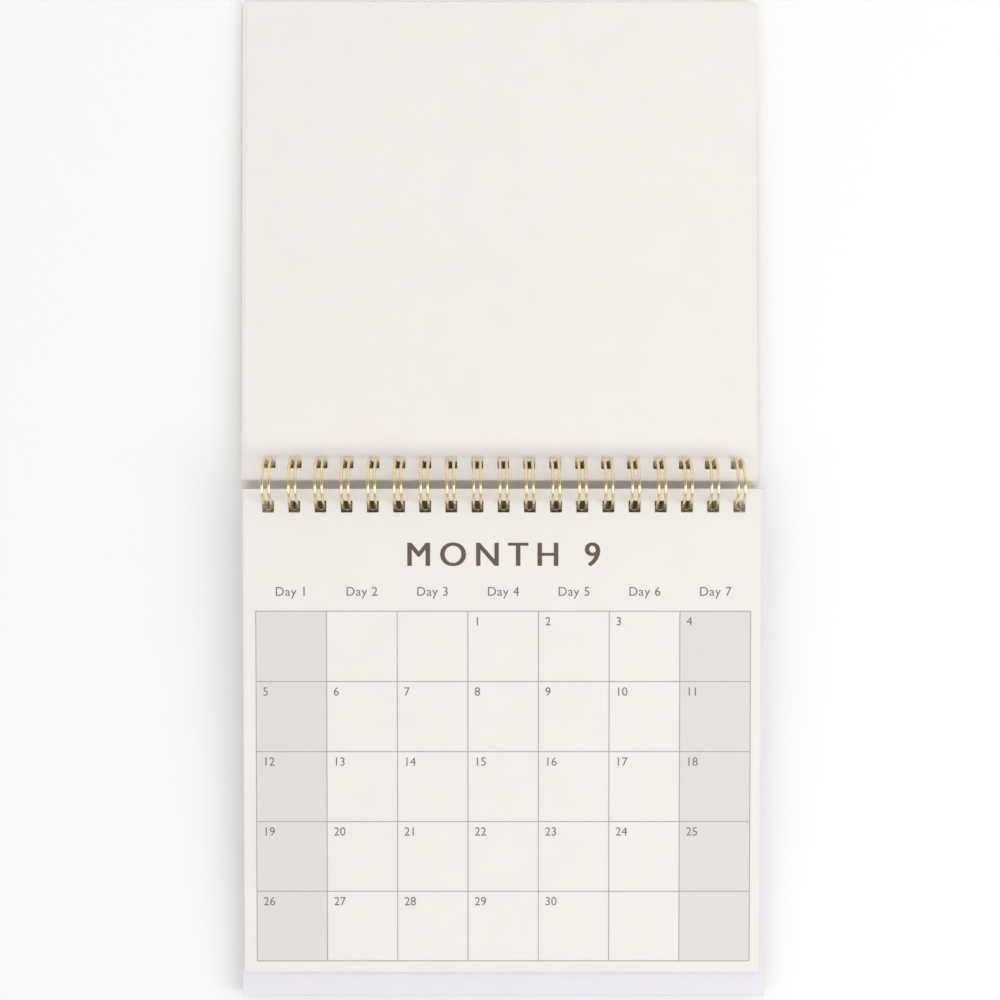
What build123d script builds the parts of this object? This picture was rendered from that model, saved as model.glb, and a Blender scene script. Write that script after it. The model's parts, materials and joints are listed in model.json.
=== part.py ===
from build123d import *
import os
from math import asin, atan2, cos, degrees, hypot, pi, radians, sin, sqrt

# Wire-bound desk calendar, lying open and face up with its easel stand folded flat under the pages.
# X runs along the wire binding, Y from the foot of the page towards the turned leaves, Z up.
# The origin is the middle of the footprint, on the table. All sizes are in millimetres.

# Leaves and cover
leaf_width = 167.5
leaf_height = 157.5
leaf_thickness = 0.25
leaf_corner = 0.8
leaves_to_come = 4
leaves_turned = 8
cover_side_lip = 1.1
cover_end_lip = 2.1
cover_bound_lip = 1.3
cover_thickness = 0.4
cover_corner = 2.0

# Punching
hole_size = 3.9
hole_margin = 3.75
row_end_margin = 7.0

# Wire binding: three twin loops to the inch, with the play that the wire has in the holes
loop_pitch = 8.467
loop_radius = 8.25
wire_diameter = 1.0
wire_side_play = 0.2
page_play = 0.35
cover_play = 0.2
taper_width = 0.6
spine_bend_radius = 0.9
seam_length = 3.0

# The wire is drawn with a six-sided section along short chords, so that a row of loops stays light
wire_sides = 6
leg_chords = 15
bend_chords = 2
tip_chords = 3

# Easel stand: front panel, a base folded inwards at its middle, and a rear panel
board_thickness = 1.0
panel_side_lip = 1.4
panel_foot_strip = 8.5
base_half_depth = 40.0
fold_gap = 0.3

# Heights on the loops, measured from the loops' axis
board_top = 1.4
turning_clearance = 0.3

# The turned sheets follow the loops inwards: the lowest lies this much nearer to the axis than the top one
turned_slip_length = 1.5

loop_count = int((leaf_width - 2 * row_end_margin) / loop_pitch) + 1
cover_width = leaf_width + 2 * cover_side_lip
cover_height = leaf_height + cover_end_lip + cover_bound_lip
panel_width = leaf_width + 2 * panel_side_lip
panel_height = leaf_height + panel_foot_strip
wire_radius = wire_diameter / 2
root_spread = hole_size - wire_diameter - 2 * wire_side_play
tip_spread = root_spread - taper_width
axis_height = loop_radius + wire_radius

# The folded board's layers lie one fold apart, front panel to rear panel
fold_radius = (board_thickness + fold_gap) / 2
fold_reach = fold_radius + board_thickness / 2
front_middle = board_top - board_thickness / 2
rear_middle = front_middle - 6 * fold_radius
rear_low = rear_middle - board_thickness / 2

# The turned stack lies as far below the axis as lets it close over the pages
page_top = board_top + leaves_to_come * leaf_thickness
turned_top = -page_top - turning_clearance
cover_top = turned_top - leaves_turned * leaf_thickness
cover_low = cover_top - cover_thickness

# Pages and cover are pushed up to the loops until their holes' outer edges all but touch the wire
page_edge = axis_height + page_play - hole_size - hole_margin
turned_edge = sqrt(axis_height**2 - cover_top**2) + cover_play - hole_size - hole_margin
cover_edge = turned_edge - cover_bound_lip
page_hole_reach = page_edge + hole_margin + hole_size / 2
turned_hole_reach = turned_edge + hole_margin + hole_size / 2
fold_start = page_edge + panel_height - fold_reach

# The spine of the wire lies midway between the easel's two panels, and the loops' tips end just under it
root_drop = -(front_middle + rear_middle) / 2 - spine_bend_radius
root_angle = 180 + degrees(asin(root_drop / loop_radius))
leg_turn = 360 - degrees(seam_length / loop_radius)
tip_angle = root_angle - leg_turn


def ring_point(x, angle, ahead=0.0):
    """A point of the loops' cylinder at an angle from +Y, moved ahead along the wire's way round."""
    a = radians(angle)
    y = loop_radius * cos(a) + ahead * sin(a)
    z = loop_radius * sin(a) - ahead * cos(a)
    return Vector(x, y, z)


def half_loop():
    """Half a twin loop from spine to tip: distances from the loop's middle, angles and steps ahead."""
    bend = []
    for step in range(bend_chords):
        a = pi / 2 * step / bend_chords
        outwards = spine_bend_radius * (1 - sin(a))
        bend.append((root_spread / 2 + outwards, root_angle, -spine_bend_radius * cos(a)))
    leg = []
    for step in range(leg_chords + 1):
        part_way = step / leg_chords
        leg.append((root_spread / 2 - taper_width / 2 * part_way, root_angle - leg_turn * part_way, 0.0))
    return bend, leg


def loop_points(middle, spine_before, spine_after):
    """One twin loop: up from the spine, over the top, round to the rounded tip and the same way back."""
    bend, leg = half_loop()
    tip = []
    for step in range(1, tip_chords):
        a = pi * step / tip_chords
        tip.append((-tip_spread / 2 * cos(a), tip_angle, tip_spread / 2 * sin(a)))
    out = bend + leg if spine_before else leg
    back = bend + leg if spine_after else leg
    points = [ring_point(middle - x, angle, ahead) for x, angle, ahead in out]
    points += [ring_point(middle + x, angle, ahead) for x, angle, ahead in tip]
    points += [ring_point(middle + x, angle, ahead) for x, angle, ahead in reversed(back)]
    return points


def wire_binding():
    """The whole binding, one wire bent into every loop and the spine between them."""
    points = []
    for loop in range(loop_count):
        middle = (loop - (loop_count - 1) / 2) * loop_pitch
        points += loop_points(middle, loop > 0, loop < loop_count - 1)
    path = Polyline(*points)
    section = Plane(origin=path @ 0, z_dir=path % 0) * RegularPolygon(wire_radius, wire_sides)
    return sweep(section, path, transition=Transition.RIGHT)


def hole_row():
    """The row of square punches, one for each loop."""
    return Sketch() + GridLocations(loop_pitch, 0, loop_count, 1) * Rectangle(hole_size, hole_size)


def sheet(width, height, edge, hole_reach, low, high, corner, slip=0.0):
    """A flat punched stack beyond the axis: its lowest sheet starts at edge, and the top one slip further."""
    outline = Pos(0, edge + height / 2) * Rectangle(width, height)
    outline = fillet(outline.vertices().group_by(Axis.Y)[-1], corner)
    punched = outline - Pos(0, hole_reach) * hole_row()
    rise = Vector(0, slip, high - low)
    return extrude(Pos(0, 0, low) * punched, rise.length, dir=rise.normalized())


def easel_stand():
    """One scored board folded flat: front panel, the two halves of the base between, rear panel."""
    front_run = Line((-page_edge, front_middle), (-fold_start, front_middle))
    front_fold = JernArc(front_run @ 1, front_run % 1, fold_radius, 180)
    front_base = Line(front_fold @ 1, front_fold @ 1 + Vector(base_half_depth, 0))
    base_fold = JernArc(front_base @ 1, front_base % 1, fold_radius, -180)
    rear_base = Line(base_fold @ 1, base_fold @ 1 - Vector(base_half_depth, 0))
    rear_fold = JernArc(rear_base @ 1, rear_base % 1, fold_radius, 180)
    rear_run = Line(rear_fold @ 1, (-page_edge, rear_middle))
    path = Plane.YZ * Wire([front_run, front_fold, front_base, base_fold, rear_base, rear_fold, rear_run])
    strip = Rectangle(panel_width, board_thickness)
    board = sweep(Plane(origin=path @ 0, x_dir=(1, 0, 0), z_dir=path % 0) * strip, path)
    punches = Pos(0, -page_hole_reach, rear_low - hole_size) * hole_row()
    return board - extrude(punches, board_top - rear_low + 2 * hole_size)


def settle_angle(reach, drop, roundness=0.0):
    """How far a straight stack on the axis dips until its far lower edge lies on the table."""
    return degrees(asin((axis_height - roundness) / hypot(reach, drop)) - atan2(drop, reach))


page_tilt = settle_angle(fold_start, -(rear_middle + fold_radius), fold_reach)
turned_tilt = settle_angle(cover_edge + cover_height, -cover_low)
page_side = Rot(X=page_tilt)
turned_side = Rot(X=-turned_tilt)
about_face = Rot(Z=180)

page_block = sheet(leaf_width, leaf_height, page_edge, page_hole_reach, board_top, page_top, leaf_corner)
turned_leaves = sheet(
    leaf_width,
    leaf_height,
    turned_edge,
    turned_hole_reach,
    cover_top,
    turned_top,
    leaf_corner,
    turned_slip_length,
)
cover_sheet = sheet(
    cover_width, cover_height, cover_edge, turned_hole_reach, cover_low, cover_top, cover_corner
)

pieces = {
    "wire_binding": page_side * wire_binding(),
    "page_block": page_side * about_face * page_block,
    "turned_leaves": turned_side * turned_leaves,
    "cover_sheet": turned_side * cover_sheet,
    "easel_stand": page_side * easel_stand(),
}
page_end = pieces["easel_stand"].bounding_box().min.Y
turned_end = pieces["cover_sheet"].bounding_box().max.Y
axis_y = -(page_end + turned_end) / 2

os.makedirs("parts", exist_ok=True)
for name, piece in pieces.items():
    export_step(Pos(0, axis_y, axis_height) * piece, f"parts/{name}.step")
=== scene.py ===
"""Looks of a wire-bound desk calendar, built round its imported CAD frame.

The calendar lies open and face up: a month page on an easel of lined board that is folded flat, and the
earlier leaves and the cover turned over a gold twin-loop wire. X runs along the wire, Y from the foot of
the page towards the turned leaves, Z up. The scene is in metres, and the sizes in the classes are in
millimetres.
"""

import json
import logging
import math
import random
from dataclasses import dataclass, field
from enum import Enum

import bmesh
import bpy
from mathutils import Matrix, Vector


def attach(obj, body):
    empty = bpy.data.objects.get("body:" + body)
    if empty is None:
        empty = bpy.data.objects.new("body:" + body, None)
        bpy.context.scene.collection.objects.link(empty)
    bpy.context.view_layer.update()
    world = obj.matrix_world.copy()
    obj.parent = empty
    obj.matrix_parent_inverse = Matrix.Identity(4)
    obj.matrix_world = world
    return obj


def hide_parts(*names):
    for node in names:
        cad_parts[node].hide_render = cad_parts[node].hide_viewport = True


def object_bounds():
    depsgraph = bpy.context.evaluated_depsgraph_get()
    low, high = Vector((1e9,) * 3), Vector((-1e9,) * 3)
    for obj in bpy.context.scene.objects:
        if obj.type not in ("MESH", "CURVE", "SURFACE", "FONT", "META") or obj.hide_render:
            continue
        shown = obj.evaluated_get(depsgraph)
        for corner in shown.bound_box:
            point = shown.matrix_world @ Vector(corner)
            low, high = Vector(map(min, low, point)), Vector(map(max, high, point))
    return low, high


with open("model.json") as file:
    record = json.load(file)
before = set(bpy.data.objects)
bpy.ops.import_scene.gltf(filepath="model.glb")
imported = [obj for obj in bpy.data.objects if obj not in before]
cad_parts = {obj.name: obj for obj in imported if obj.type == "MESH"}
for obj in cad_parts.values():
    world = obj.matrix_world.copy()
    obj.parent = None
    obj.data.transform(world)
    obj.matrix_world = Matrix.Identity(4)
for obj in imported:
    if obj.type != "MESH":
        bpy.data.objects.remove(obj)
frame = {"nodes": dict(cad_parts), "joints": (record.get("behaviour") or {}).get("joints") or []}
CAD_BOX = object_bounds()

LOG = logging.getLogger("desk_calendar")
MM = 0.001
HINGE = Vector(frame["joints"][0]["pos_m"])

# Vertices nearer together than this become one
MERGE = 0.0005 * MM
# A face counts as facing up where its normal's Z is above this
UPWARD = 0.9
# How much matt paper and the ink on it shine
MATT_SPECULAR = 0.25
# The colour sockets of a Mix node: its two inputs and its result
COLOUR_A, COLOUR_B, COLOUR_OUT = 6, 7, 2

Socket = bpy.types.NodeSocket
Tree = bpy.types.NodeTree
Colour = tuple[float, float, float, float]


def linear(code: str) -> Colour:
    """Turn an sRGB hex colour to linear light.

    Args:
        code: The colour as "#RRGGBB".

    Returns:
        Linear red, green and blue, with an alpha of 1.
    """
    parts = [int(code[start:start + 2], 16) / 255 for start in (1, 3, 5)]
    red, green, blue = (v / 12.92 if v <= 0.04045 else ((v + 0.055) / 1.055) ** 2.4 for v in parts)
    return red, green, blue, 1.0


def add_node(tree: Tree, kind: str, inputs: dict | None = None, **settings: object) -> bpy.types.Node:
    """Add a node with its settings, values and links.

    Args:
        tree: The node tree it goes into.
        kind: Blender's name for the node type.
        inputs: Input name or number to a value, or to the output socket that feeds it.
        **settings: The node's own properties.

    Returns:
        The new node.
    """
    node = tree.nodes.new(kind)
    for name, value in settings.items():
        setattr(node, name, value)
    for key, value in (inputs or {}).items():
        if isinstance(value, Socket):
            tree.links.new(value, node.inputs[key])
        else:
            node.inputs[key].default_value = value
    return node


def blend(tree: Tree, share: Socket, first: Socket | Colour, second: Socket | Colour) -> Socket:
    """Mix two colours.

    Args:
        tree: The node tree that the mix goes into.
        share: How much of the second colour shows, from 0 to 1.
        first: The colour where share is 0.
        second: The colour where share is 1.

    Returns:
        The mixed colour.
    """
    mix = add_node(tree, "ShaderNodeMix", {
        "Factor": share, COLOUR_A: first, COLOUR_B: second}, data_type="RGBA")
    return mix.outputs[COLOUR_OUT]


def noise(tree: Tree, place: Socket, size: float, detail: float, roughness: float = 0.5) -> Socket:
    """Add a noise texture.

    Args:
        tree: The node tree it goes into.
        place: Where it is read.
        size: About how many millimetres its features are across.
        detail: How many finer layers it has.
        roughness: How strong those are.

    Returns:
        The noise, from 0 to 1.
    """
    texture = add_node(tree, "ShaderNodeTexNoise", {
        "Vector": place, "Scale": 1.0 / (size * MM), "Detail": detail, "Roughness": roughness})
    return texture.outputs["Fac"]


def new_material(name: str) -> tuple[bpy.types.Material, Tree, bpy.types.Node]:
    """Start a material with one Principled shader.

    Args:
        name: The finish's name.

    Returns:
        The material, its node tree and the shader node.
    """
    material = bpy.data.materials.new(name)
    material.use_nodes = True
    tree = material.node_tree
    return material, tree, tree.nodes["Principled BSDF"]


@dataclass(frozen=True)
class PaperStock:
    """Paper or board: matt, faintly cloudy where the fibres lie thicker, with darker, warmer cut faces
    painted as shade.

    The eye sees an even tone on the faces, a fine tooth in raking light, and fibres in layers at the edges.
    """

    name: str
    face: str
    cloud: str
    cut: str
    cut_shade: str
    roughness: float = 0.9
    cloud_mm: float = 12.0
    cloud_detail: float = 4.0
    cloud_roughness: float = 0.6
    cloud_range: tuple[float, float] = (0.35, 0.65)
    fibre_mm: float = 0.7
    fibre_detail: float = 3.0
    fibre_roughness: float = 0.65
    layer_mm: float = 0.25
    layer_detail: float = 2.0
    layer_squeeze: tuple[float, float, float] = (0.06, 0.06, 1.0)
    tooth_mm: float = 0.02
    tooth_strength: float = 0.5
    steepest_face: float = 0.5

    def material(self) -> bpy.types.Material:
        """Build the finish from clouds of fibre, a fine tooth and layered cut edges darkened with painted
        shade.
        """
        material, tree, shader = new_material(self.name)
        coord = add_node(tree, "ShaderNodeTexCoord")
        place = coord.outputs["Object"]
        clouds = noise(tree, place, self.cloud_mm, self.cloud_detail, self.cloud_roughness)
        spread = add_node(tree, "ShaderNodeMapRange", {
            "Value": clouds, "From Min": self.cloud_range[0], "From Max": self.cloud_range[1]})
        face = blend(tree, spread.outputs["Result"], linear(self.face), linear(self.cloud))
        # The layers of a cut edge are long along the sheet, so the noise is squeezed there
        squeezed = add_node(tree, "ShaderNodeMapping", {"Vector": place, "Scale": self.layer_squeeze})
        layers = noise(tree, squeezed.outputs["Vector"], self.layer_mm, self.layer_detail)
        cut = blend(tree, layers, linear(self.cut), linear(self.cut_shade))
        # Steep faces take the darker cut colours: painted shade of stacked edges and hole walls, on board
        # also its grey core
        normal = add_node(tree, "ShaderNodeSeparateXYZ", {"Vector": coord.outputs["Normal"]})
        upright = add_node(tree, "ShaderNodeMath", {0: normal.outputs["Z"]}, operation="ABSOLUTE")
        on_edge = add_node(tree, "ShaderNodeMath", {
            0: upright.outputs[0], 1: self.steepest_face}, operation="LESS_THAN")
        tree.links.new(blend(tree, on_edge.outputs[0], face, cut), shader.inputs["Base Color"])
        fibres = noise(tree, place, self.fibre_mm, self.fibre_detail, self.fibre_roughness)
        tooth = add_node(tree, "ShaderNodeBump", {
            "Strength": self.tooth_strength, "Distance": self.tooth_mm * MM, "Height": fibres})
        tree.links.new(tooth.outputs["Normal"], shader.inputs["Normal"])
        shader.inputs["Roughness"].default_value = self.roughness
        shader.inputs["Specular IOR Level"].default_value = MATT_SPECULAR
        return material


@dataclass(frozen=True)
class OffsetInk:
    """Offset ink on uncoated paper: matt, and slightly uneven where the fibres drink it in."""

    name: str
    colour: str
    thin: str
    mottle_mm: float = 0.5
    mottle_detail: float = 2.0
    roughness: float = 0.75

    def material(self) -> bpy.types.Material:
        """Build the ink, with a fine mottle between its full tone and a thinner one."""
        material, tree, shader = new_material(self.name)
        place = add_node(tree, "ShaderNodeTexCoord").outputs["Object"]
        mottle = noise(tree, place, self.mottle_mm, self.mottle_detail)
        tone = blend(tree, mottle, linear(self.colour), linear(self.thin))
        tree.links.new(tone, shader.inputs["Base Color"])
        shader.inputs["Roughness"].default_value = self.roughness
        shader.inputs["Specular IOR Level"].default_value = MATT_SPECULAR
        return material


@dataclass(frozen=True)
class GoldCoatedWire:
    """Steel binding wire under a pale gold metallic coating: bright along its length, softly satin.

    The eye sees a warm straw colour with clean highlights that break up a little where the coating is worn.
    """

    name: str = "gold_coated_steel_wire"
    gold: str = "#F0DFB4"
    deep: str = "#E4CD98"
    patch_mm: float = 1.4
    patch_detail: float = 3.0
    smooth: float = 0.13
    worn: float = 0.24
    metallic: float = 0.75

    def material(self) -> bpy.types.Material:
        """Build the coating, its colour and gloss drifting in small patches."""
        material, tree, shader = new_material(self.name)
        place = add_node(tree, "ShaderNodeTexCoord").outputs["Object"]
        patches = noise(tree, place, self.patch_mm, self.patch_detail)
        tone = blend(tree, patches, linear(self.gold), linear(self.deep))
        tree.links.new(tone, shader.inputs["Base Color"])
        gloss = add_node(tree, "ShaderNodeMapRange", {
            "Value": patches, "To Min": self.smooth, "To Max": self.worn})
        tree.links.new(gloss.outputs["Result"], shader.inputs["Roughness"])
        shader.inputs["Metallic"].default_value = self.metallic
        return material


class Stock(Enum):
    """The papers and boards of the calendar."""

    # Cut colours darker and warmer than the faces are painted shade of stacked edges and hole walls; the
    # board's also stand for its grey core
    LEAF = PaperStock("uncoated_offset_paper", "#F3EFEB", "#F2EDE9", "#EEE4D2", "#DFD2BC")
    COVER = PaperStock("uncoated_cover_card", "#F2EDE6", "#F0EAE3", "#E6DED2", "#D3C9BA", fibre_mm=0.9)
    BOARD = PaperStock("lined_easel_board", "#ECEAF0", "#EAE8EE", "#C4BDB4", "#A0988E", roughness=0.8)


class Ink(Enum):
    """The inks of the month page."""

    HEADING = OffsetInk("brown_heading_ink", "#65564A", "#6F6156")
    LETTERS = OffsetInk("grey_brown_letter_ink", "#776D69", "#847A76")
    RULES = OffsetInk("grey_rule_ink", "#ADA4A2", "#B8B0AE")
    TINT = OffsetInk("pale_grey_tint", "#E1DFDC", "#E5E2DF", mottle_mm=3.0)


MADE: dict[str, bpy.types.Material] = {}


def finish_of(choice: Stock | Ink | GoldCoatedWire) -> bpy.types.Material:
    """Give a finish's material, made once.

    Args:
        choice: A stock, an ink or the wire's coating.

    Returns:
        The material.
    """
    finish = choice.value if isinstance(choice, Enum) else choice
    if finish.name not in MADE:
        MADE[finish.name] = finish.material()
    return MADE[finish.name]


def geometry_tree(name: str, sizes: dict[str, str]) -> tuple[Tree, bpy.types.NodeOutputs]:
    """Start a Geometry Nodes tree with named inputs.

    Args:
        name: The tree's name.
        sizes: Input name to socket kind, such as "Float" or "Int".

    Returns:
        The tree and the outputs of its input node, by name.
    """
    tree = bpy.data.node_groups.new(name, "GeometryNodeTree")
    for label, kind in sizes.items():
        tree.interface.new_socket(label, in_out="INPUT", socket_type=f"NodeSocket{kind}")
    tree.interface.new_socket("Geometry", in_out="OUTPUT", socket_type="NodeSocketGeometry")
    return tree, add_node(tree, "NodeGroupInput").outputs


def mesh_of(carrier: bpy.types.Object) -> bpy.types.Mesh:
    """Keep what an object shows as a plain mesh, and drop the object."""
    bpy.context.scene.collection.objects.link(carrier)
    seen = carrier.evaluated_get(bpy.context.evaluated_depsgraph_get())
    mesh = bpy.data.meshes.new_from_object(seen)
    bpy.data.objects.remove(carrier)
    return mesh


def bake_tree(tree: Tree, values: dict[str, object], source: bpy.types.Mesh | None = None) -> bpy.types.Mesh:
    """Run a tree once and keep its result as a plain mesh.

    Args:
        tree: The Geometry Nodes tree.
        values: Input name to value.
        source: The mesh that goes into the tree, if it takes one.

    Returns:
        The finished mesh, with no modifier left.
    """
    carrier = bpy.data.objects.new("carrier", source or bpy.data.meshes.new("carrier"))
    modifier = carrier.modifiers.new("shape", "NODES")
    modifier.node_group = tree
    for item in tree.interface.items_tree:
        if item.in_out == "INPUT" and item.name in values:
            modifier[item.identifier] = values[item.name]
    return mesh_of(carrier)


def put_down(
    name: str, mesh: bpy.types.Mesh, place: Matrix, body: str, node: str | None = None
) -> bpy.types.Object:
    """Make a mesh a piece of the calendar, its place in its vertices.

    Args:
        name: The piece's name.
        mesh: Its mesh, built in its own frame.
        place: Where that frame lies.
        body: The CAD body that it moves with.
        node: The CAD node that it stands for, if any.

    Returns:
        The piece.
    """
    mesh.transform(place)
    mesh.name = name
    piece = bpy.data.objects.new(name, mesh)
    bpy.context.scene.collection.objects.link(piece)
    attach(piece, body)
    if node:
        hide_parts(node)
    mesh.calc_loop_triangles()
    LOG.info("%s: %d triangles on %s", name, len(mesh.loop_triangles), body)
    return piece


@dataclass
class Lie:
    """How a flat CAD node lies: a frame on the hinge line, turned with the node's upper face."""

    node: str
    matrix: Matrix = field(init=False)
    low: Vector = field(init=False)
    high: Vector = field(init=False)

    def __post_init__(self) -> None:
        """Read the tilt from the node's upward faces, and its box in that frame."""
        mesh = frame["nodes"][self.node].data
        up = Vector()
        for polygon in mesh.polygons:
            if polygon.normal.z > UPWARD:
                up += polygon.normal * polygon.area
        tilt = math.atan2(-up.y, up.z)
        self.matrix = Matrix.Translation(HINGE) @ Matrix.Rotation(tilt, 4, "X")
        back = self.matrix.inverted()
        points = [back @ vertex.co for vertex in mesh.vertices]
        self.low = Vector(min(p[axis] for p in points) for axis in range(3))
        self.high = Vector(max(p[axis] for p in points) for axis in range(3))


class Plate:
    """A thin flat plate with rows of square-cut holes, alone or as a loose stack of them.

    Its bound edge lies along X at the origin, it reaches along +Y, and its thickness stands up from Z 0.
    """

    tree: Tree | None = None
    corner_points: int = 6
    hole_corner_points: int = 3
    play_seed_step: float = 7.0

    @classmethod
    def nodes(cls) -> Tree:
        """Build the tree once: an outline and its holes are filled, thickened, stacked and jogged."""
        if cls.tree:
            return cls.tree
        lengths = ("Width", "Height", "Corner", "Shift", "Hole width", "Hole height", "Hole corner",
                   "Column pitch", "Row pitch", "First row", "Thickness", "Leaf pitch", "Leaf slip",
                   "Side play", "End play", "Turn")
        counts = ("Columns", "Rows", "Leaves", "Seed")
        sizes = {name: "Float" for name in lengths} | {name: "Int" for name in counts}
        tree, size = geometry_tree("punched_plate", sizes | {"Finish": "Material"})

        def maths(operation: str, first: Socket | float, second: Socket | float) -> Socket:
            """Give one arithmetic result."""
            return add_node(tree, "ShaderNodeMath", {0: first, 1: second}, operation=operation).outputs[0]

        def vector(x: Socket | float, y: Socket | float, z: Socket | float) -> Socket:
            """Join three numbers."""
            return add_node(tree, "ShaderNodeCombineXYZ", {0: x, 1: y, 2: z}).outputs[0]

        def join(*parts: Socket) -> Socket:
            """Join pieces of geometry."""
            joined = add_node(tree, "GeometryNodeJoinGeometry")
            for part in parts:
                tree.links.new(part, joined.inputs[0])
            return joined.outputs[0]

        rectangle = add_node(tree, "GeometryNodeCurvePrimitiveQuadrilateral", {
            "Width": size["Width"], "Height": size["Height"]})
        middle = vector(size["Shift"], maths("MULTIPLY", size["Height"], 0.5), 0.0)
        outline = add_node(tree, "GeometryNodeTransform", {
            "Geometry": rectangle.outputs[0], "Translation": middle})
        rounded = add_node(tree, "GeometryNodeFilletCurve", {
            "Curve": outline.outputs[0], "Count": cls.corner_points, "Radius": size["Corner"]}, mode="POLY")
        punch = add_node(tree, "GeometryNodeCurvePrimitiveQuadrilateral", {
            "Width": size["Hole width"], "Height": size["Hole height"]})
        eased = add_node(tree, "GeometryNodeFilletCurve", {
            "Curve": punch.outputs[0], "Count": cls.hole_corner_points, "Radius": size["Hole corner"]},
            mode="POLY")
        half_row = maths("MULTIPLY", maths("SUBTRACT", size["Columns"], 1.0), -0.5)
        first_hole = vector(maths("MULTIPLY", half_row, size["Column pitch"]), size["First row"], 0.0)
        row = add_node(tree, "GeometryNodeMeshLine", {
            "Count": size["Columns"], "Offset": vector(size["Column pitch"], 0.0, 0.0),
            "Start Location": first_hole})
        across = add_node(tree, "GeometryNodeInstanceOnPoints", {
            "Points": row.outputs[0], "Instance": eased.outputs[0]})
        one_row = add_node(tree, "GeometryNodeRealizeInstances", {"Geometry": across.outputs[0]})
        column = add_node(tree, "GeometryNodeMeshLine", {
            "Count": size["Rows"], "Offset": vector(0.0, size["Row pitch"], 0.0)})
        along = add_node(tree, "GeometryNodeInstanceOnPoints", {
            "Points": column.outputs[0], "Instance": one_row.outputs[0]})
        holes = add_node(tree, "GeometryNodeRealizeInstances", {"Geometry": along.outputs[0]})
        pattern = join(rounded.outputs[0], holes.outputs[0])
        filled = add_node(tree, "GeometryNodeFillCurve", {"Curve": pattern}, mode="TRIANGLES")
        raised = add_node(tree, "GeometryNodeExtrudeMesh", {
            "Mesh": filled.outputs[0], "Offset": vector(0.0, 0.0, size["Thickness"]), "Offset Scale": 1.0,
            "Individual": False})
        under = add_node(tree, "GeometryNodeFlipFaces", {"Mesh": filled.outputs[0]})
        halves = join(raised.outputs[0], under.outputs[0])
        closed = add_node(tree, "GeometryNodeMergeByDistance", {"Geometry": halves, "Distance": MERGE})
        flat = add_node(tree, "GeometryNodeSetShadeSmooth", {
            "Geometry": closed.outputs[0], "Shade Smooth": False})
        pile = add_node(tree, "GeometryNodeMeshLine", {
            "Count": size["Leaves"], "Offset": vector(0.0, size["Leaf slip"], size["Leaf pitch"])})
        # A random value takes vectors in its sockets 0 and 1, and numbers in 2 and 3
        turn = add_node(tree, "FunctionNodeRandomValue", {
            2: maths("MULTIPLY", size["Turn"], -1.0), 3: size["Turn"], "Seed": size["Seed"]})
        stacked = add_node(tree, "GeometryNodeInstanceOnPoints", {
            "Points": pile.outputs[0], "Instance": flat.outputs[0],
            "Rotation": vector(0.0, 0.0, turn.outputs[1])})
        side, end = size["Side play"], size["End play"]
        least = vector(maths("MULTIPLY", side, -1.0), maths("MULTIPLY", end, -1.0), 0.0)
        play = add_node(tree, "FunctionNodeRandomValue", {
            0: least, 1: vector(side, end, 0.0),
            "Seed": maths("ADD", size["Seed"], cls.play_seed_step)}, data_type="FLOAT_VECTOR")
        jogged = add_node(tree, "GeometryNodeTranslateInstances", {
            "Instances": stacked.outputs[0], "Translation": play.outputs[0]})
        solid = add_node(tree, "GeometryNodeRealizeInstances", {"Geometry": jogged.outputs[0]})
        dressed = add_node(tree, "GeometryNodeSetMaterial", {
            "Geometry": solid.outputs[0], "Material": size["Finish"]})
        add_node(tree, "NodeGroupOutput", {"Geometry": dressed.outputs[0]})
        cls.tree = tree
        return tree

    @classmethod
    def mesh(cls, finish: bpy.types.Material, **sizes: float) -> bpy.types.Mesh:
        """Make a plate.

        Args:
            finish: Its material.
            **sizes: The tree's inputs in millimetres, counts or degrees, with _ for a space.

        Returns:
            The plate's mesh, in metres.
        """
        values: dict[str, object] = {"Finish": finish, "Leaves": 1, "Rows": 1}
        for key, size in sizes.items():
            label = key.capitalize().replace("_", " ")
            if isinstance(size, int):
                values[label] = size
            elif label == "Turn":
                values[label] = math.radians(size)
            else:
                values[label] = size * MM
        return bake_tree(cls.nodes(), values)


@dataclass
class Punching:
    """The row of square holes along every sheet's bound edge."""

    holes: int = 19
    pitch: float = 8.467
    size: float = 3.9
    corner: float = 0.35
    margin: float = 3.75

    def sizes(self, lip: float = 0.0) -> dict[str, float]:
        """Give the plate inputs for a sheet whose bound edge stands lip millimetres past the leaves'."""
        return {
            "hole_width": self.size, "hole_height": self.size, "hole_corner": self.corner,
            "columns": self.holes, "column_pitch": self.pitch,
            "first_row": self.margin + self.size / 2 + lip,
        }


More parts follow.
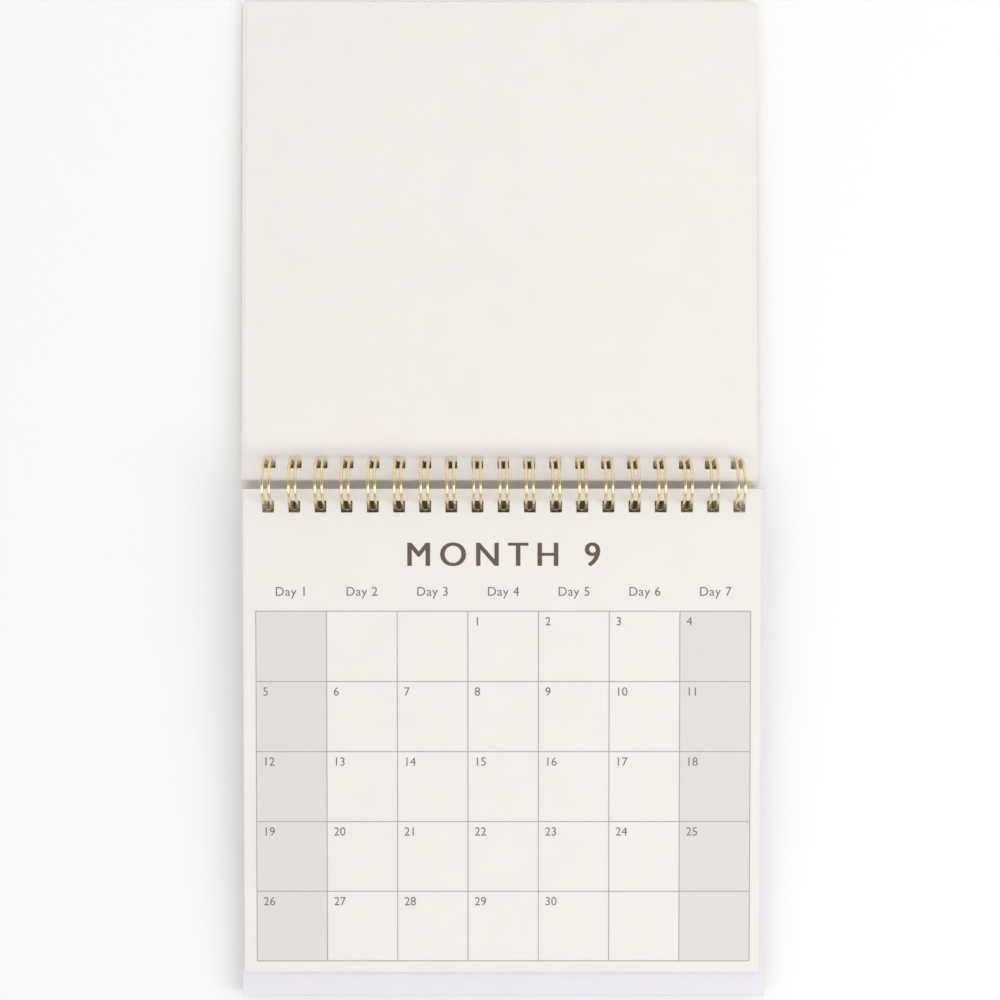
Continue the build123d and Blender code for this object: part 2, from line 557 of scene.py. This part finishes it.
@dataclass
class LeafStack:
    """A stack of loose punched leaves on one side of the wire, the top one drawn by itself.

    The top leaf keeps the place that the camera sees. Those under it lie a little out of line with it. The
    whole stack may have slid aside along the wire. Where it follows the loops inwards, slip is how far the
    top leaf lies out along them, under_slips how far the lowest and the highest of the others do, and
    under_punch how far the holes of those lie inwards. The far ends are trimmed by trim and under_trim.
    """

    node: str
    body: str
    leaves: int
    outward: int
    top_shift: float
    top_turn: float
    under_shift: float
    side_play: float
    end_play: float
    turn_play: float
    seed: int
    aside: float = 0.0
    slip: float = 0.0
    under_slips: tuple[float, float] = (0.0, 0.0)
    under_punch: float = 0.0
    trim: float = 0.0
    under_trim: float = 0.0
    corner: float = 0.8
    paper_share: float = 0.94
    punching: Punching = field(default_factory=Punching)

    def __post_init__(self) -> None:
        """Read the stack's place and size from its CAD node."""
        self.lie = Lie(self.node)
        self.width = (self.lie.high.x - self.lie.low.x) / MM
        self.height = (self.lie.high.y - self.lie.low.y) / MM - self.slip
        self.pitch = (self.lie.high.z - self.lie.low.z) / MM / self.leaves
        self.edge = self.lie.low.y if self.outward > 0 else self.lie.high.y

    def spot(self, level: float, slip: float) -> Matrix:
        """Give the place of a sheet whose underside is level leaves up the stack, slid outwards by slip."""
        rise = self.lie.low.z + level * self.pitch * MM
        slid = self.edge + self.outward * slip * MM
        half_turn = Matrix.Rotation(0.0 if self.outward > 0 else math.pi, 4, "Z")
        return self.lie.matrix @ Matrix.Translation((self.aside * MM, slid, rise)) @ half_turn

    def build(self) -> None:
        """Make the leaves underneath and the top leaf."""
        paper = finish_of(Stock.LEAF)
        thickness = self.pitch * self.paper_share
        common = {"width": self.width, "corner": self.corner, "thickness": thickness}
        lowest, highest = self.under_slips
        under = Plate.mesh(
            paper, **common, **self.punching.sizes(-self.under_punch), height=self.height - self.under_trim,
            leaves=self.leaves - 1, leaf_pitch=self.pitch, leaf_slip=(highest - lowest) / (self.leaves - 2),
            shift=self.under_shift * self.outward, side_play=self.side_play, end_play=self.end_play,
            turn=self.turn_play, seed=self.seed)
        put_down(f"{self.node}_under", under, self.spot(0, lowest), self.body, self.node)
        top = Plate.mesh(
            paper, **common, **self.punching.sizes(), height=self.height - self.trim,
            shift=self.top_shift * self.outward)
        skew = Matrix.Rotation(math.radians(self.top_turn), 4, "Z")
        place = self.spot(self.leaves - 1, self.slip) @ skew
        put_down(f"{self.node}_top", top, place, self.body, self.node)

    def page_face(self) -> Matrix:
        """Give the frame of the top leaf's upper face: +X right, +Y up, from its bound edge's middle."""
        beside = Matrix.Translation((self.top_shift * self.outward * MM, 0.0, 0.0))
        top = self.spot(self.leaves, self.slip) @ beside
        sunk = -(1.0 - self.paper_share) * self.pitch * MM
        return top @ Matrix.Rotation(math.pi, 4, "Z") @ Matrix.Translation((0.0, 0.0, sunk))


@dataclass
class CoverSheet:
    """The card cover, turned right over and lying under the turned leaves."""

    node: str = "cover_sheet"
    leaf_node: str = "turned_leaves"
    corner: float = 2.2
    aside: float = -0.12
    shift: float = -0.88
    turn: float = 0.2
    trim: float = 0.5
    punching: Punching = field(default_factory=Punching)

    def build(self) -> None:
        """Make the cover from its CAD node's size, with its holes in line with the leaves'."""
        lie = Lie(self.node)
        size = (lie.high - lie.low) / MM
        lip = (Lie(self.leaf_node).low.y - lie.low.y) / MM
        card = Plate.mesh(
            finish_of(Stock.COVER), **self.punching.sizes(lip), width=size.x, height=size.y - self.trim,
            corner=self.corner, thickness=size.z, shift=self.shift)
        skew = Matrix.Rotation(math.radians(self.turn), 4, "Z")
        place = lie.matrix @ Matrix.Translation((self.aside * MM, lie.low.y, lie.low.z)) @ skew
        put_down("cover_card", card, place, "turned_pages", self.node)


@dataclass
class LoopWire:
    """The twin-loop binding: one coated wire bent into every loop and the spine between them.

    A loop leaves the spine at its root, goes up over the top and round underneath, and its rounded tip
    closes just under the spine. Loops differ a little, as hand-closed ones do.
    """

    node: str = "wire_binding"
    loops: int = 19
    pitch: float = 8.467
    radius: float = 8.25
    diameter: float = 0.92
    # Degrees of the way round from the root, and how far apart the middles of the two legs are there
    leg_spreads: tuple[tuple[float, float], ...] = (
        (0.0, 2.5), (25.0, 2.2), (60.0, 2.2), (150.0, 2.1), (185.0, 2.1), (345.0, 1.9))
    # Where a loop is drawn in from its circle: degrees of the way round, how far in, and how many degrees
    # before and after it takes
    dips: tuple[tuple[float, float, float, float], ...] = ((22.0, 1.25, 22.0, 50.0), (216.0, 0.8, 32.0, 50.0))
    bend: float = 0.9
    root_angle: float = 181.04
    lowest_angle: float = -90.0
    seam: float = 1.95
    tip_lift: float = 0.3
    pinch: float = 0.16
    lean: float = -0.17
    lean_play: float = 0.09
    seed: int = 11
    leg_steps: int = 84
    bend_steps: int = 6
    tip_steps: int = 12
    sides: int = 12

    def __post_init__(self) -> None:
        """Work out where the legs end."""
        self.leg_turn = 360 - math.degrees(self.seam / self.radius)
        self.tip_angle = self.root_angle - self.leg_turn

    def point(self, x: float, angle: float, ahead: float = 0.0) -> Vector:
        """Find a point of the loops' barrel.

        Args:
            x: Its place along the wire, in millimetres.
            angle: Its turn from +Y, in degrees.
            ahead: How far it is moved ahead along the wire's way round.

        Returns:
            The point from the loops' axis, in metres.
        """
        past_lowest = max(0.0, (self.lowest_angle - angle) / (self.lowest_angle - self.tip_angle))
        reach = self.radius + self.tip_lift * past_lowest**2
        for middle, depth, before, after in self.dips:
            turn = self.root_angle - angle - middle
            share = min(1.0, abs(turn) / (before if turn < 0 else after))
            reach -= depth * (1 - share * share) ** 2
        a = math.radians(angle)
        y = reach * math.cos(a) + ahead * math.sin(a)
        z = reach * math.sin(a) - ahead * math.cos(a)
        return Vector((x, y, z)) * MM

    def half_spread(self, turn: float) -> float:
        """Give half the distance between a loop's legs, turn degrees past the root."""
        for (start, before), (stop, after) in zip(self.leg_spreads, self.leg_spreads[1:]):
            if turn <= stop:
                share = (turn - start) / (stop - start)
                eased = share * share * (3 - 2 * share)
                return (before + (after - before) * eased) / 2
        return self.leg_spreads[-1][1] / 2

    def loop(
        self, middle: float, pinch: float, lean: float, spine_before: bool, spine_after: bool
    ) -> list[Vector]:
        """Follow one twin loop from spine to tip and back.

        Args:
            middle: The loop's place along the wire.
            pinch: How much narrower than usual its tip is.
            lean: How far it leans along the wire, opposite its root.
            spine_before: Whether the spine joins it to a loop before it.
            spine_after: Whether the spine joins it to a loop after it.

        Returns:
            The points along the wire.
        """
        root = self.half_spread(0.0)
        tip = self.half_spread(self.leg_turn) - pinch / 2
        bend = []
        for step in range(self.bend_steps):
            a = math.pi / 2 * step / self.bend_steps
            bend.append((root + self.bend * (1 - math.sin(a)), self.root_angle, -self.bend * math.cos(a)))
        leg = []
        for step in range(self.leg_steps + 1):
            share = step / self.leg_steps
            turn = self.leg_turn * share
            leg.append((self.half_spread(turn) - pinch / 2 * share, self.root_angle - turn, 0.0))
        end = []
        for step in range(1, self.tip_steps):
            a = math.pi * step / self.tip_steps
            end.append((-tip * math.cos(a), self.tip_angle, tip * math.sin(a)))
        out = bend + leg if spine_before else leg
        back = bend + leg if spine_after else leg

        def leaning(angle: float) -> float:
            """Give the loop's middle at an angle, off most opposite the root."""
            return middle + lean * (1 - math.cos(math.radians(angle - self.root_angle))) / 2

        points = [self.point(leaning(angle) - x, angle, ahead) for x, angle, ahead in out]
        points += [self.point(leaning(angle) + x, angle, ahead) for x, angle, ahead in end]
        points += [self.point(leaning(angle) + x, angle, ahead) for x, angle, ahead in reversed(back)]
        return points

    def path(self) -> bpy.types.Mesh:
        """Join the loops into one open line of edges."""
        draw = random.Random(self.seed)
        points: list[Vector] = []
        for index in range(self.loops):
            middle = (index - (self.loops - 1) / 2) * self.pitch
            pinch = draw.uniform(-self.pinch, self.pinch)
            lean = self.lean + draw.uniform(-self.lean_play, self.lean_play)
            points += self.loop(middle, pinch, lean, index > 0, index < self.loops - 1)
        mesh = bpy.data.meshes.new("wire_path")
        mesh.from_pydata(points, [(i, i + 1) for i in range(len(points) - 1)], [])
        return mesh

    @staticmethod
    def nodes() -> Tree:
        """Build the tree that gives a line of edges a round wire."""
        tree, size = geometry_tree("round_wire", {
            "Line": "Geometry", "Radius": "Float", "Sides": "Int", "Finish": "Material"})
        curve = add_node(tree, "GeometryNodeMeshToCurve", {"Mesh": size["Line"]})
        section = add_node(tree, "GeometryNodeCurvePrimitiveCircle", {
            "Resolution": size["Sides"], "Radius": size["Radius"]})
        swept = add_node(tree, "GeometryNodeCurveToMesh", {
            "Curve": curve.outputs[0], "Profile Curve": section.outputs[0], "Fill Caps": True})
        smooth = add_node(tree, "GeometryNodeSetShadeSmooth", {
            "Geometry": swept.outputs[0], "Shade Smooth": True})
        solid = add_node(tree, "GeometryNodeRealizeInstances", {"Geometry": smooth.outputs[0]})
        dressed = add_node(tree, "GeometryNodeSetMaterial", {
            "Geometry": solid.outputs[0], "Material": size["Finish"]})
        add_node(tree, "NodeGroupOutput", {"Geometry": dressed.outputs[0]})
        return tree

    def build(self) -> None:
        """Sweep the wire and set it on the easel's slope."""
        coating = finish_of(GoldCoatedWire())
        values = {"Radius": self.diameter / 2 * MM, "Sides": self.sides, "Finish": coating}
        mesh = bake_tree(self.nodes(), values, self.path())
        put_down("twin_loop_wire", mesh, Lie("page_block").matrix, "easel", self.node)


class Align(Enum):
    """Where a line of lettering starts."""

    MIDDLE = "CENTER"
    LEFT = "LEFT"


@dataclass
class MonthPrint:
    """The print of the month page: a ruled grid, two tinted columns, dates and plain headings.

    Places are millimetres on the page, from the middle of its bound edge, with Y up the page.
    """

    page: Matrix
    columns: int = 7
    rows: int = 5
    cell_width: float = 22.9
    cell_height: float = 22.855
    grid_top: float = -39.61
    offset: float = 0.39
    rule: float = 0.3
    sharp_corner: float = 0.02
    first_column: int = 3
    days: int = 30
    date_height: float = 2.7
    date_inset: tuple[float, float] = (2.1, 1.9)
    label_height: float = 2.85
    label_line: float = -34.6
    label_spacing: float = 1.06
    heading_height: float = 7.5
    heading_line: float = -24.9
    heading: str = "MONTH 9"
    heading_spacing: float = 1.42
    heading_weight: float = 0.2
    strike_step: float = 0.002
    label: str = "Day"
    ink: float = 0.03
    tint_ink: float = 0.016
    sunk: float = 0.008
    letter_steps: int = 4

    def across(self, column: float) -> float:
        """Give the place across the page of a column's left rule, or of a point part way to the next."""
        return (column - self.columns / 2) * self.cell_width

    def plate(self, name: str, mesh: bpy.types.Mesh, x: float, y: float) -> None:
        """Lay a printed plate on the page, a hair into the paper."""
        spot = self.page @ Matrix.Translation(((x + self.offset) * MM, y * MM, -self.sunk * MM))
        put_down(name, mesh, spot, "pages")

    def ruling(self) -> None:
        """Draw the grid as one plate with a hole for every cell."""
        width = self.columns * self.cell_width + self.rule
        height = self.rows * self.cell_height + self.rule
        mesh = Plate.mesh(
            finish_of(Ink.RULES), width=width, height=height, corner=self.sharp_corner,
            hole_width=self.cell_width - self.rule, hole_height=self.cell_height - self.rule,
            hole_corner=self.sharp_corner, columns=self.columns, rows=self.rows,
            column_pitch=self.cell_width, row_pitch=self.cell_height,
            first_row=(self.cell_height + self.rule) / 2, thickness=self.ink + self.sunk)
        self.plate("printed_grid", mesh, 0.0, self.grid_top - height + self.rule / 2)

    def tints(self) -> None:
        """Lay the pale tint over the first and the last column, under the rules."""
        height = self.rows * self.cell_height
        for name, column in (("left", 0), ("right", self.columns - 1)):
            mesh = Plate.mesh(
                finish_of(Ink.TINT), width=self.cell_width, height=height, corner=self.sharp_corner,
                columns=0, thickness=self.tint_ink + self.sunk)
            self.plate(f"printed_tint_{name}", mesh, self.across(column + 0.5), self.grid_top - height)

    def line(self, text: str, height: float, align: Align, spacing: float = 1.0) -> bpy.types.Mesh:
        """Set a line of generic lettering as a thin solid.

        Args:
            text: What it says.
            height: The height of its capitals and figures.
            align: Where it starts.
            spacing: Letter spacing, as a multiple of the usual one.

        Returns:
            The mesh, its baseline along X.
        """
        curve = bpy.data.curves.new("lettering", "FONT")
        curve.body = text
        curve.align_x = align.value
        curve.size = height * MM / self.capitals()
        curve.space_character = spacing
        curve.extrude = (self.ink + self.sunk) / 2 * MM
        curve.resolution_u = self.letter_steps
        return mesh_of(bpy.data.objects.new("lettering", curve))

    @staticmethod
    def capitals() -> float:
        """Measure the height of a capital in lettering of size 1."""
        curve = bpy.data.curves.new("measure", "FONT")
        curve.body = "H"
        mesh = mesh_of(bpy.data.objects.new("measure", curve))
        return max(vertex.co.y for vertex in mesh.vertices)

    def joined(self, name: str, lines: list[tuple[bpy.types.Mesh, float, float]], ink: Ink) -> None:
        """Join set lines into one piece on the page.

        Args:
            name: The piece's name.
            lines: Each line's mesh, with the place of its baseline across and up the page.
            ink: What it is printed in.
        """
        built = bmesh.new()
        for mesh, x, y in lines:
            mesh.transform(Matrix.Translation((x * MM, y * MM, (self.ink + self.sunk) / 2 * MM)))
            built.from_mesh(mesh)
        bmesh.ops.remove_doubles(built, verts=built.verts, dist=MERGE)
        bmesh.ops.recalc_face_normals(built, faces=built.faces)
        for face in built.faces:
            face.smooth = False
            face.material_index = 0
        whole = bpy.data.meshes.new(name)
        built.to_mesh(whole)
        built.free()
        whole.materials.append(finish_of(ink))
        self.plate(name, whole, 0.0, 0.0)

    def dates(self) -> None:
        """Print the day numbers in the corners of their cells."""
        lines = []
        for day in range(1, self.days + 1):
            row, column = divmod(day - 1 + self.first_column, self.columns)
            x = self.across(column) + self.date_inset[0]
            y = self.grid_top - row * self.cell_height - self.date_inset[1] - self.date_height
            lines.append((self.line(str(day), self.date_height, Align.LEFT), x, y))
        self.joined("printed_dates", lines, Ink.LETTERS)

    def labels(self) -> None:
        """Print a plain label over every column."""
        lines = []
        for column in range(self.columns):
            words = f"{self.label} {column + 1}"
            mesh = self.line(words, self.label_height, Align.MIDDLE, self.label_spacing)
            lines.append((mesh, self.across(column + 0.5), self.label_line))
        self.joined("printed_labels", lines, Ink.LETTERS)

    def title(self) -> None:
        """Print the plain heading of the page, struck three times a little apart to make it bold."""
        lines = []
        for strike in (-1, 0, 1):
            mesh = self.line(self.heading, self.heading_height, Align.MIDDLE, self.heading_spacing)
            mesh.transform(Matrix.Translation((0.0, 0.0, strike * self.strike_step * MM)))
            lines.append((mesh, strike * self.heading_weight, self.heading_line))
        self.joined("printed_heading", lines, Ink.HEADING)

    def build(self) -> None:
        """Print the whole page."""
        self.tints()
        self.ruling()
        self.dates()
        self.labels()
        self.title()


@dataclass
class EaselBoard:
    """The folded easel of lined board, which keeps its CAD shape and gets its finish here."""

    node: str = "easel_stand"

    def build(self) -> None:
        """Dress the CAD node."""
        piece = frame["nodes"][self.node]
        piece.data.materials.clear()
        piece.data.materials.append(finish_of(Stock.BOARD))
        LOG.info("%s: CAD node with its board finish", self.node)


@dataclass(frozen=True)
class Softbox:
    """A rectangular soft lamp that faces the middle of the calendar. Its place and size are in metres."""

    name: str
    place: tuple[float, float, float]
    width: float
    depth: float
    watts: float


@dataclass
class Studio:
    """The pale floor, the soft light and the camera over the calendar.

    The floor's size and the camera's clip_start are in metres. The floor's gap under the calendar and the
    camera's place and sensor are in millimetres.
    """

    floor_size: float = 60.0
    floor_gap: float = 0.05
    floor_colour: str = "#FDFDFD"
    floor_roughness: float = 0.9
    floor_specular: float = 0.1
    camera_place: tuple[float, float, float] = (-1.2, -1.1, 560.0)
    focal_pixels: float = 1698.6
    frame_pixels: float = 1000.0
    sensor: float = 36.0
    clip_start: float = 0.01
    softboxes: tuple[Softbox, ...] = (
        Softbox("softbox_right", (0.85, -0.25, 0.6), 0.5, 0.5, 2.4),
    )
    sky_strength: float = 1.74
    # Degrees from straight up, towards the turned leaves where above 0, and the grey of the room there
    sky_greys: tuple[tuple[float, float], ...] = (
        (-90.0, 0.18), (-48.0, 0.16), (-42.0, 1.0), (-11.0, 1.0), (-6.0, 0.08), (14.0, 0.08), (30.0, 0.58),
        (90.0, 0.58))
    # Heights, as the upward share of the way looked, between which the even haze at the horizon thins out
    haze: tuple[float, float] = (0.1, 0.24)
    haze_grey: float = 0.5

    def floor(self) -> None:
        """Lay the floor just under the calendar."""
        half = self.floor_size / 2
        level = CAD_BOX[0].z - self.floor_gap * MM
        mesh = bpy.data.meshes.new("floor")
        corners = [(-half, -half, level), (half, -half, level), (half, half, level), (-half, half, level)]
        mesh.from_pydata(corners, [], [(0, 1, 2, 3)])
        material, _, shader = new_material("pale_table")
        shader.inputs["Base Color"].default_value = linear(self.floor_colour)
        shader.inputs["Roughness"].default_value = self.floor_roughness
        shader.inputs["Specular IOR Level"].default_value = self.floor_specular
        mesh.materials.append(material)
        floor = bpy.data.objects.new("floor", mesh)
        bpy.context.scene.collection.objects.link(floor)

    def lamps(self) -> None:
        """Hang the softboxes."""
        for box in self.softboxes:
            data = bpy.data.lights.new(box.name, "AREA")
            data.shape = "RECTANGLE"
            data.size = box.width
            data.size_y = box.depth
            data.energy = box.watts
            lamp = bpy.data.objects.new(box.name, data)
            lamp.location = box.place
            lamp.rotation_euler = (-lamp.location).to_track_quat("-Z", "Y").to_euler()
            bpy.context.scene.collection.objects.link(lamp)

    def sky(self) -> None:
        """Fill the room with soft light: a bright band on the foot's side, dim overhead, even low down."""
        world = bpy.data.worlds.new("soft_room")
        world.use_nodes = True
        bpy.context.scene.world = world
        tree = world.node_tree
        coord = add_node(tree, "ShaderNodeTexCoord")
        way = add_node(tree, "ShaderNodeSeparateXYZ", {"Vector": coord.outputs["Generated"]})
        lean = add_node(tree, "ShaderNodeMath", {
            0: way.outputs["Y"], 1: way.outputs["Z"]}, operation="ARCTAN2")
        share = add_node(tree, "ShaderNodeMapRange", {
            "Value": lean.outputs[0], "From Min": -math.pi / 2, "From Max": math.pi / 2})
        ramp = add_node(tree, "ShaderNodeValToRGB", {"Fac": share.outputs["Result"]})
        stops = ramp.color_ramp.elements
        given = len(stops)
        for index, (degrees, grey) in enumerate(self.sky_greys):
            where = (degrees + 90.0) / 180.0
            stop = stops[index] if index < given else stops.new(where)
            stop.position = where
            stop.color = (grey, grey, grey, 1.0)
        low = add_node(tree, "ShaderNodeMapRange", {
            "Value": way.outputs["Z"], "From Min": self.haze[0], "From Max": self.haze[1], "To Min": 1.0,
            "To Max": 0.0})
        haze = (self.haze_grey, self.haze_grey, self.haze_grey, 1.0)
        hazy = blend(tree, low.outputs["Result"], ramp.outputs["Color"], haze)
        background = tree.nodes["Background"]
        tree.links.new(hazy, background.inputs["Color"])
        background.inputs["Strength"].default_value = self.sky_strength

    def camera(self) -> None:
        """Set the camera straight over the calendar, with the wire across the picture."""
        data = bpy.data.cameras.new("overhead")
        data.sensor_width = self.sensor
        data.lens = self.sensor * self.focal_pixels / self.frame_pixels
        data.clip_start = self.clip_start
        camera = bpy.data.objects.new("overhead", data)
        camera.location = Vector(self.camera_place) * MM
        bpy.context.scene.collection.objects.link(camera)
        bpy.context.scene.camera = camera

    def build(self) -> None:
        """Set up the stage."""
        self.floor()
        self.lamps()
        self.sky()
        self.camera()
        bpy.context.scene.view_settings.view_transform = "Standard"


def main() -> None:
    """Build the calendar piece by piece."""
    logging.basicConfig(level=logging.INFO, format="%(name)s %(message)s")
    Studio().build()
    EaselBoard().build()
    pages = LeafStack(
        "page_block", "pages", leaves=4, outward=-1, top_shift=-0.55, top_turn=0.0, under_shift=-0.8,
        side_play=0.12, end_play=0.15, turn_play=0.05, seed=3)
    turned = LeafStack(
        "turned_leaves", "turned_pages", leaves=8, outward=1, top_shift=-0.88, top_turn=-0.15,
        under_shift=-1.58, side_play=0.15, end_play=0.04, turn_play=0.04, seed=5, aside=-0.12, slip=1.5,
        under_slips=(1.2, 1.45), under_punch=1.3, trim=0.5, under_trim=0.2)
    pages.build()
    turned.build()
    CoverSheet().build()
    LoopWire().build()
    MonthPrint(pages.page_face()).build()


if __name__ == "__main__":
    main()
